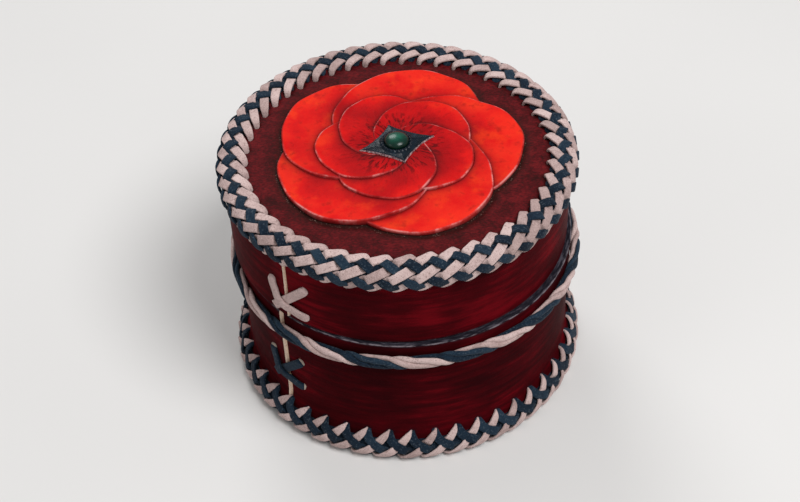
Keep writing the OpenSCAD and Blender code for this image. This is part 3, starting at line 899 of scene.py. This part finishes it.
def drum_wall(name, node, body, outer, thick, low, high, seam, spots, rim, weave_from, foot, gap):
    """rim is the height of the edge that was burnished, weave_from tells how far from it the painted shade
    under the laces begins, foot is the share of the flare, and gap is half of the seam's width."""
    loop = wall_profile(outer, thick, low, high)
    level = loop[:, 1]
    reach = loop[:, 0] + foot * flared(level)
    depth = (loop[:, 0] - (outer - thick)) / thick
    skin = depth > 0.9
    round_way = 2 * np.pi * outer
    beside = gap * np.array([0.5, 0.92, 1.03, 1.33, 2.0])
    open_way = np.linspace(SEAM_SIDE, round_way - SEAM_SIDE, WALL_COLUMNS)
    along = np.concatenate([[0], beside, open_way, round_way - beside[::-1]])[:, None]
    from_seam = np.minimum(along, round_way - along)
    angle = np.broadcast_to(seam + along / outer, (len(along), len(loop)))
    points = reach[:, None] * outward(angle) + level[:, None] * UP
    inside = np.clip((level - low) / EDGE_EASE, 0, 1) * np.clip((high - level) / EDGE_EASE, 0, 1)
    proud = PROUD * np.exp(-((round_way - along) / PROUD_FADE) ** 2) * (along > 0)
    groove = GROOVE_DEPTH * np.clip(1 - from_seam / gap, 0, 1)
    # pit dents the leather round each hole, and through the dark mark it paints shade into the hole
    pit = np.exp(-(near(points, spots) / PIT_WIDTH) ** 2) * skin
    swell = SWELL * uneven(points, SWELL_SIZE) * (depth > 0.5) * inside
    lift = swell + (proud - groove) * skin - PIT_DEPTH * pit
    points = points + lift[:, :, None] * outward(angle)
    from_rim = np.abs(level - rim)
    # painted shade: the leather under the laces, seen through gaps in the weave, is darkened
    shade_under_laces = np.clip((from_rim - weave_from) / LACED_FADE, 0, 0.9)
    burnished = np.clip(1.4 - from_rim / 0.3, 0, 1)
    # painted highlight: a pale line along the rim's outer corner
    worn = np.exp(-((depth - 0.96) * thick / 0.16) ** 2) * (from_rim < 0.25)
    cut = from_seam < 1.02 * gap
    raw = (cut & np.roll(cut, -1)).astype(float) * (skin & np.roll(skin, -1))
    return piece(name, node, body, "burgundy_leather", burgundy, points,
                 quads(len(along), len(loop), True, True), raw=raw, dark=np.maximum(0.9 * pit, shade_under_laces),
                 edge=np.broadcast_to(burnished, pit.shape), worn=np.broadcast_to(worn, pit.shape))


drum_wall("lid_wall_leather", "lid_wall", "lid", LID_RADIUS, LID_WALL, LID_Z,
          LID_TOP - LID_TOP_THICK, LID_SEAM, lid_spots, LID_Z, 23.4, 0.0, 0.5)
drum_wall("base_wall_leather", "base_wall", "base", BASE_RADIUS, BASE_WALL, FLOOR_Z + FLOOR_THICK,
          BASE_HEIGHT, BASE_SEAM, base_spots, BASE_HEIGHT, 42.0, 1.0, 0.8)

# %% [markdown]
# ## The plan of the flower
#
# The flower is a simple rosette of two rings with five round petals each, and a lozenge in its middle.
# A petal lies lower on one side, so its other side lifts over the next petal, all the way round. The
# discs, the petals and the mount all need these outlines, so the plan comes first.

# %% Plan of the flower
PETALS, GLUE = 5, 0.05
PETAL_SLOPE = math.tan(math.radians(1.3))
# Reach of the ring, radius of a petal, lowest height of its face, turn of the first petal
OUTER_RING = (39.0, 24.0, 0.8, 0.0)
INNER_RING = (25.0, 15.0, 1.8, math.pi / PETALS)
MOUNT_LONG, MOUNT_WIDE, MOUNT_POWER, MOUNT_TURN = 12.0, 9.5, 0.82, math.radians(14)


def petal_rim(number, theta):
    """Radius of a petal's outline as a share of its round shape: a little uneven, each its own way."""
    return (1 + 0.016 * np.sin(3 * theta + 1.7 * number) + 0.010 * np.sin(5 * theta - 2.3 * number)
            + 0.005 * np.sin(11 * theta + number))


def on_petal(ring, number, points):
    """Points in a petal's own plan: along its axis, to its left, and distance beyond its outline."""
    reach, radius, _, turn = ring
    angle = turn + number * 2 * np.pi / PETALS
    x = points[..., 0] * np.cos(angle) + points[..., 1] * np.sin(angle) - (reach - radius)
    y = points[..., 1] * np.cos(angle) - points[..., 0] * np.sin(angle)
    beyond = np.hypot(x, y) - radius * petal_rim(number, np.arctan2(y, x))
    return x, y, beyond


def petal_face(ring, y):
    """Height of a petal's face over the lid, at a distance to the left of its axis."""
    _, radius, low, _ = ring
    return low + (y + radius) * PETAL_SLOPE


def beyond_ring(ring, points):
    """Distance of points beyond the outline of a whole ring of petals."""
    return np.min([on_petal(ring, i, points)[2] for i in range(PETALS)], axis=0)


def lozenge_share(along, aside):
    """How far a point is from the middle of a lozenge with hollow sides: 1 is on its outline."""
    return ((np.abs(along) / MOUNT_LONG) ** MOUNT_POWER
            + (np.abs(aside) / MOUNT_WIDE) ** MOUNT_POWER) ** (1 / MOUNT_POWER)


print("Petals in a ring:", PETALS)

# %% [markdown]
# ## The two discs
#
# The lid's top and the floor are discs with one round edge, where the laces bend over. The lid's
# background is beaten down round the flower and stippled, and each lace goes through a slot. The
# floor is such a disc upside down, and its edge leans like the foot of the wall. Rings of points lie
# close together where slots and stippling need them, and far apart under the flower.

# %% Discs
SLOT_DEPTH, SLOT_WIDTH, STIPPLE, STIPPLE_SIZE = 1.3, 0.95, 0.05, 1.5
LACED_BAND, BEATEN_DEPTH, PASTE_FADE = 6.2, 0.4, 1.3
COLUMNS_PER_STITCH, AXIS_GAP = 20, 0.5


def laced_disc(name, node, body, edge, thick, spots, flower):
    """A disc whose round edge is on the side that it looks to."""
    columns = STITCHES * COLUMNS_PER_STITCH
    inner = edge.radius - CORNER
    turn = np.linspace(0, np.pi / 2 + edge.lean, 7)
    flat = [AXIS_GAP, 8, 16, 24, 30, *np.arange(33, 42, 0.75), *np.arange(42, inner, 0.4)]
    loop = [(r, 0.0) for r in flat]
    loop += list(zip(inner + CORNER * np.sin(turn), CORNER * (1 - np.cos(turn))))
    back = loop[-1][0] - (thick - loop[-1][1]) * math.tan(edge.lean)
    loop += [(back, thick), (back * 0.6, thick), (AXIS_GAP, thick)]
    reach, drop = np.array(loop).T
    points = turned(np.stack([reach, edge.face - edge.looks * drop], 1), columns)
    top = (drop < 0.01)[:, None]
    # pit sinks each slot, and through the dark mark it paints shade into the slot
    pit = np.exp(-(near(points, spots) / SLOT_WIDTH) ** 2) * top
    lift = STIPPLE * uneven(points, STIPPLE_SIZE) * top - SLOT_DEPTH * pit
    # painted shade: the leather under the laces, seen through gaps in the weave, is darkened
    shade_under_laces = np.clip((reach - edge.radius + LACED_BAND) / LACED_FADE, 0, 0.9)[:, None]
    dark = np.maximum(0.95 * pit, shade_under_laces)
    if flower:
        beyond = beyond_ring(OUTER_RING, points)
        lift -= BEATEN_DEPTH * np.exp(-((beyond - 0.6) / 1.1) ** 2) * top
        dark = np.maximum(dark, 0.9 * np.exp(-np.maximum(beyond - 0.3, 0) / PASTE_FADE) * top)
    points[..., 2] += edge.looks * lift
    return piece(name, node, body, "dark_leather", dark_skin, points, capped(len(loop), columns), dark=dark)


lid_slots = np.vstack([holes(LID_EDGE, LID_BEIGE, 0.36), holes(LID_EDGE, LID_NAVY, 0.87)])
floor_slots = np.vstack([holes(BASE_EDGE, BASE_BEIGE, 4.6), holes(BASE_EDGE, BASE_NAVY, 4.67)])
laced_disc("lid_top_leather", "lid_top", "lid", LID_EDGE, LID_TOP_THICK, lid_slots, True)
laced_disc("floor_leather", "base_floor", "base", BASE_EDGE, FLOOR_THICK, floor_slots, False)

# %% [markdown]
# ## The shape of a petal
#
# Each petal is a shell of its own: a gently waved face, a thin rim, a cut edge and a flat back. It
# could be sculpted, but rings of points that crowd towards the rim are enough for its small round edge.
# Two kinds of waves bend the face. One is the petal's own, and the other one runs on from petal to
# petal, as if all were cut from one skin.

# %% Shape of a petal
RIM_INSETS = np.array([3.6, 2.8, 2.1, 1.6, 1.2, 0.9, 0.68, 0.5, 0.36, 0.24, 0.14, 0.06, 0.0])
PETAL_COLUMNS, PETAL_ROWS = 240, 20
RIM_ROLL, RIM_WAVE, OWN_WAVE, SHARED_WAVE = 0.12, 0.12, 0.16, 0.5


def rim_ease(inset, size=0.45):
    """How far a rounded edge has dropped, at a distance in from the outline."""
    t = np.clip(1 - inset / size, 0, 1)
    return size * (1 - np.sqrt(1 - t ** 2))


def petal_shell(ring, number):
    """Rings of points of one petal, from its middle to its rim."""
    reach, radius, _, turn = ring
    theta = round_angles(PETAL_COLUMNS)
    insets = np.concatenate([np.linspace(0.94 * radius, 4.2, PETAL_ROWS), RIM_INSETS])
    edge = radius * petal_rim(number, theta)
    out = np.maximum(edge - insets[:, None], 0.02 * edge)
    x, y = out * np.cos(theta), out * np.sin(theta)
    share = out / edge
    z = petal_face(ring, y)
    z += RIM_ROLL * np.exp(-((insets[:, None] - 0.7) / 0.7) ** 2)
    z += RIM_WAVE * np.sin(3 * theta + 1.3 * number) * share ** 3
    z -= rim_ease(insets)[:, None] * 0.6
    angle = np.array(turn + number * 2 * np.pi / PETALS)
    plan = (x + reach - radius)[..., None] * outward(angle) + y[..., None] * outward(angle + np.pi / 2)
    z += (OWN_WAVE * uneven(plan + number * 40, 11.0) + SHARED_WAVE * uneven(plan, 12.0)) * share
    return plan, z, insets


print("Rings of points in a petal:", PETAL_ROWS + len(RIM_INSETS))

# %% [markdown]
# ## The petals
#
# Where a neighbour's edge stands over a petal, its face is darkened, partly by paste and partly by
# painted shade, and the cut edge itself is darkened as painted shade. A narrow line along the rim
# shows paler leather. Both could be painted by hand, but the plan tells how far each point is from
# each outline. Where a petal goes under the inner ring or the lozenge, its face sinks, so that
# nothing pokes through.

# %% Petals
WORN_INSET, WORN_WIDTH = 0.2, 0.22
UNDER_RING, UNDER_MOUNT = 0.5, 1.7


def paste_and_shade(plan, z, petal, covers):
    """How dark paste and painted shade make a petal's face, which is most at the foot of an edge above it.
    """
    shade = np.zeros_like(z)
    for other in ((ring, number) for ring in covers for number in range(PETALS)):
        if other != petal:
            _, y, beyond = on_petal(*other, plan)
            out = np.maximum(beyond, 0)
            foot = 0.6 * np.exp(-out / 0.9) + 0.3 * np.exp(-out / 4.0)
            above = petal_face(other[0], y) - z > 0.1
            shade = np.maximum(shade, foot * above * (beyond > -1.5))
    return shade


def petals(name, node, ring, covers):
    """A ring of petals. covers are the rings whose edges stand over it."""
    points, faces, worn, dark = [], [], [], []
    for number in range(PETALS):
        plan, z, insets = petal_shell(ring, number)
        shade = paste_and_shade(plan, z, (ring, number), covers)
        if ring is OUTER_RING:
            under = np.clip(-beyond_ring(INNER_RING, plan) / 1.2, 0, 1)
            z = z * (1 - under) + UNDER_RING * under
        else:
            along, aside = outward(np.array(MOUNT_TURN)), outward(np.array(MOUNT_TURN + np.pi / 2))
            seat = np.clip((1 - lozenge_share(plan @ along, plan @ aside)) / 0.12, 0, 1)
            z = z * (1 - seat) + UNDER_MOUNT * seat
        shell = np.vstack([plan + (LID_TOP + GLUE + z)[..., None] * UP, plan[-1:] + LID_TOP * UP])
        rows, columns = shell.shape[:2]
        faces += shifted(capped(rows, columns), len(points) * rows * columns)
        points.append(shell)
        line = np.exp(-((insets - WORN_INSET) / WORN_WIDTH) ** 2)[:, None] * np.ones(columns)
        # painted shade on the cut edge
        edge = (insets < 0.03)[:, None] * 0.5
        worn.append(np.vstack([line, np.zeros((1, columns))]))
        dark.append(np.vstack([np.maximum(shade, edge), np.ones((1, columns))]))
    return piece(name, node, "lid", "red_leather", red_skin, points, faces, worn=np.array(worn),
                 dark=np.array(dark))


petals("outer_petals", "petals_outer", OUTER_RING, (OUTER_RING, INNER_RING))
petals("inner_petals", "petals_inner", INNER_RING, (INNER_RING,))

# %% [markdown]
# ## The stone and its mount
#
# A lozenge of leather with hollow sides carries the stone. It swells towards the middle and rises in a
# beaded collar that grips the stone. Points on rays from the middle, with one ray on each tip, keep the
# tips sharp. The stone is a cabochon, turned like a knob from one profile.

# %% Mount and stone
MOUNT_SEAT = LID_TOP + 2 * GLUE + INNER_RING[2]
MOUNT_COLUMNS, MOUNT_THICK, MOUNT_EDGE, MOUNT_SWELL = 240, 1.8, 1.0, 0.62
COLLAR_RADIUS, COLLAR_RISE, COLLAR_BEADS = 4.5, 0.5, 22
STONE_RADIUS, STONE_HEIGHT, STONE_SEAT, STONE_COLUMNS = 3.75, 2.5, 0.6, 72


def stone_mount():
    theta = round_angles(MOUNT_COLUMNS)
    tip = 1 / lozenge_share(np.cos(theta), np.sin(theta))
    share = np.concatenate([np.linspace(0.02, 0.9, 40), [0.93, 0.955, 0.975, 0.99, 1.0]])[:, None]
    out = share * tip
    z = MOUNT_EDGE + MOUNT_SWELL * (1 - share ** 2) - rim_ease((1 - share) * tip * 0.7, 0.4)
    beads = 0.75 + 0.25 * np.cos(COLLAR_BEADS * theta)
    z = z + COLLAR_RISE * beads * np.exp(-((out - COLLAR_RADIUS) / 0.5) ** 2)
    z = np.where(out < STONE_RADIUS + 0.1, MOUNT_THICK - STONE_SEAT, z)
    plan = out[..., None] * outward(theta + MOUNT_TURN)
    z = z + 0.06 * uneven(plan, 2.2)
    face = plan + (MOUNT_SEAT + z)[..., None] * UP
    points = np.vstack([face, plan[-1:] + (MOUNT_SEAT - 0.02) * UP])
    foot = np.ones((1, MOUNT_COLUMNS))
    worn = np.vstack([np.clip((share - 0.965) / 0.02, 0, 1) * np.ones_like(out), foot])
    # painted shade: a dark ring in the gap between the stone and its collar
    dark = np.vstack([0.8 * np.exp(-((out - 3.9) / 0.35) ** 2), 0 * foot])
    return piece("mount_leather", "stone_mount", "lid", "navy_leather", navy_skin, points,
                 capped(len(points), MOUNT_COLUMNS), worn=worn, dark=dark)


def cabochon():
    seat = MOUNT_SEAT + GLUE + MOUNT_THICK - STONE_SEAT
    girdle, dome = seat + STONE_SEAT, STONE_HEIGHT - STONE_SEAT
    loop = [(STONE_RADIUS * math.sin(t), girdle + dome * math.cos(t))
            for t in np.linspace(0.03, np.pi / 2, 18)]
    loop += [(STONE_RADIUS, seat + 0.2), (STONE_RADIUS - 0.2, seat), (0.1, seat)]
    return piece("cabochon", "stone", "lid", "green_stone", polished_green,
                 turned(loop, STONE_COLUMNS), capped(len(loop), STONE_COLUMNS))


stone_mount()
cabochon()

# %% [markdown]
# ## The lip and the lining
#
# Inside the lid sits a ring of undyed leather that drops into the base and keeps the lid in place. A
# second ring packs the space between it and the wall. Two pads of suede line the floor and the lid.
# All are turned shapes with rounded edges, and the pads swell slowly, because glued suede is never
# quite flat.

# %% Lip and lining
BASE_INNER, LID_INNER = BASE_RADIUS - BASE_WALL, LID_RADIUS - LID_WALL
LIP_OUTER, LIP_THICK, LIP_DROP, LIP_OVERLAP, LIP_SOFT = 47.33, 2.0, 8.0, 12.0, 0.6
PAD, PAD_SOFT, PAD_PLAY, PAD_SWELL = 1.2, 0.5, 0.35, 0.07
RING_COLUMNS, PAD_COLUMNS = 240, 180


def hide_ring(name, node, inner, outer, low, high):
    """A band of undyed leather inside the lid. Its lower edge is burnished."""
    turn = np.linspace(0, np.pi, 9)
    middle, half = (inner + outer) / 2, (outer - inner) / 2
    top, bottom = high - LIP_SOFT, low + LIP_SOFT
    loop = [(middle - half * math.cos(t), top + LIP_SOFT * math.sin(t)) for t in turn]
    loop += [(outer, z) for z in np.linspace(top, bottom, 20)[1:-1]]
    loop += [(middle + half * math.cos(t), bottom - LIP_SOFT * math.sin(t)) for t in turn]
    loop += [(inner, z) for z in np.linspace(bottom, top, 20)[1:-1]]
    points = turned(loop, RING_COLUMNS)
    dark = np.clip(1.3 - (points[..., 2] - low) / 0.9, 0, 0.8)
    return piece(name, node, "lid", "raw_leather", raw_hide, points,
                 quads(len(loop), RING_COLUMNS, True, True), dark=dark)


def lining_pad(name, node, body, radius, low):
    top = low + PAD - PAD_SOFT
    loop = [(r, low + PAD) for r in (AXIS_GAP, *np.arange(4, radius - 2, 3))]
    loop += [(radius - PAD_SOFT + PAD_SOFT * math.sin(t), top + PAD_SOFT * math.cos(t))
             for t in np.linspace(0, np.pi / 2, 5)]
    loop += [(radius, low), (AXIS_GAP, low)]
    points = turned(loop, PAD_COLUMNS)
    points[..., 2] += PAD_SWELL * uneven(points, 9.0) * (points[..., 2] > low + PAD / 2)
    return piece(name, node, body, "suede_lining", lining_suede, points, capped(len(loop), PAD_COLUMNS))


hide_ring("lip_leather", "lid_lip", LIP_OUTER - LIP_THICK, LIP_OUTER, LID_Z - LIP_DROP,
          LID_Z + LIP_OVERLAP)
hide_ring("packing_leather", "lid_packing", LIP_OUTER + GLUE, LID_INNER - GLUE, LID_Z,
          LID_Z + LIP_OVERLAP)
lining_pad("floor_pad", "base_lining", "base", BASE_INNER - PAD_PLAY, FLOOR_Z + FLOOR_THICK + GLUE)
lining_pad("lid_pad", "lid_lining", "lid", LID_INNER - PAD_PLAY, LID_TOP - LID_TOP_THICK - GLUE - PAD)

# %% [markdown]
# ## The studio
#
# A plain pale floor and soft lamps show the colours as they are. A large lamp in front and to the
# right is the main light, a weaker one on the left opens the shadows, and one behind draws the rim.
# The world is an even grey that fills in softly, so that the dark leather keeps its depth.

# %% Studio
def studio_floor():
    material, place = start_finish("pale_floor", Specular_IOR_Level=0.1)
    colour = ramp(cloud(place, 160, 2), (0.0, rgb(0.70, 0.69, 0.68)), (1.0, rgb(0.75, 0.74, 0.73)))
    put_on(material, place, colour, 0.8 + 0.1 * cloud(place, 3), cloud(place, 2), 0.02)
    loop, columns = [(0.01, 0), (500, 0), (4000, 0), (4000, -2), (0.01, -2)], 64
    points = turned(loop, columns).reshape(-1, 3)
    mesh = bpy.data.meshes.new("table")
    mesh.from_pydata((points * MM).tolist(), [], capped(len(loop), columns))
    mesh.materials.append(material)
    table = bpy.data.objects.new("table", mesh)
    bpy.context.scene.collection.objects.link(table)


def lamp(name, place, size, power):
    light = bpy.data.lights.new(name, "AREA")
    light.shape, light.size, light.energy = "DISK", size, power
    made = bpy.data.objects.new(name, light)
    made.location = place
    made.rotation_euler = (LIT - Vector(place)).to_track_quat("-Z", "Y").to_euler()
    bpy.context.scene.collection.objects.link(made)


LIT = Vector((0, 0, 0.04))
studio_floor()
lamp("main_lamp", (0.42, -0.40, 0.98), 0.55, 9.0)
lamp("side_lamp", (-0.85, -0.45, 0.55), 0.5, 0.8)
lamp("rim_lamp", (-0.25, 0.75, 0.75), 0.5, 4.0)

world = bpy.data.worlds.new("studio")
world.use_nodes = True
sky = world.node_tree.nodes["Background"]
sky.inputs["Color"].default_value = rgb(0.86, 0.86, 0.86)
sky.inputs["Strength"].default_value = 0.38
bpy.context.scene.world = world
bpy.context.scene.view_settings.view_transform = "Standard"
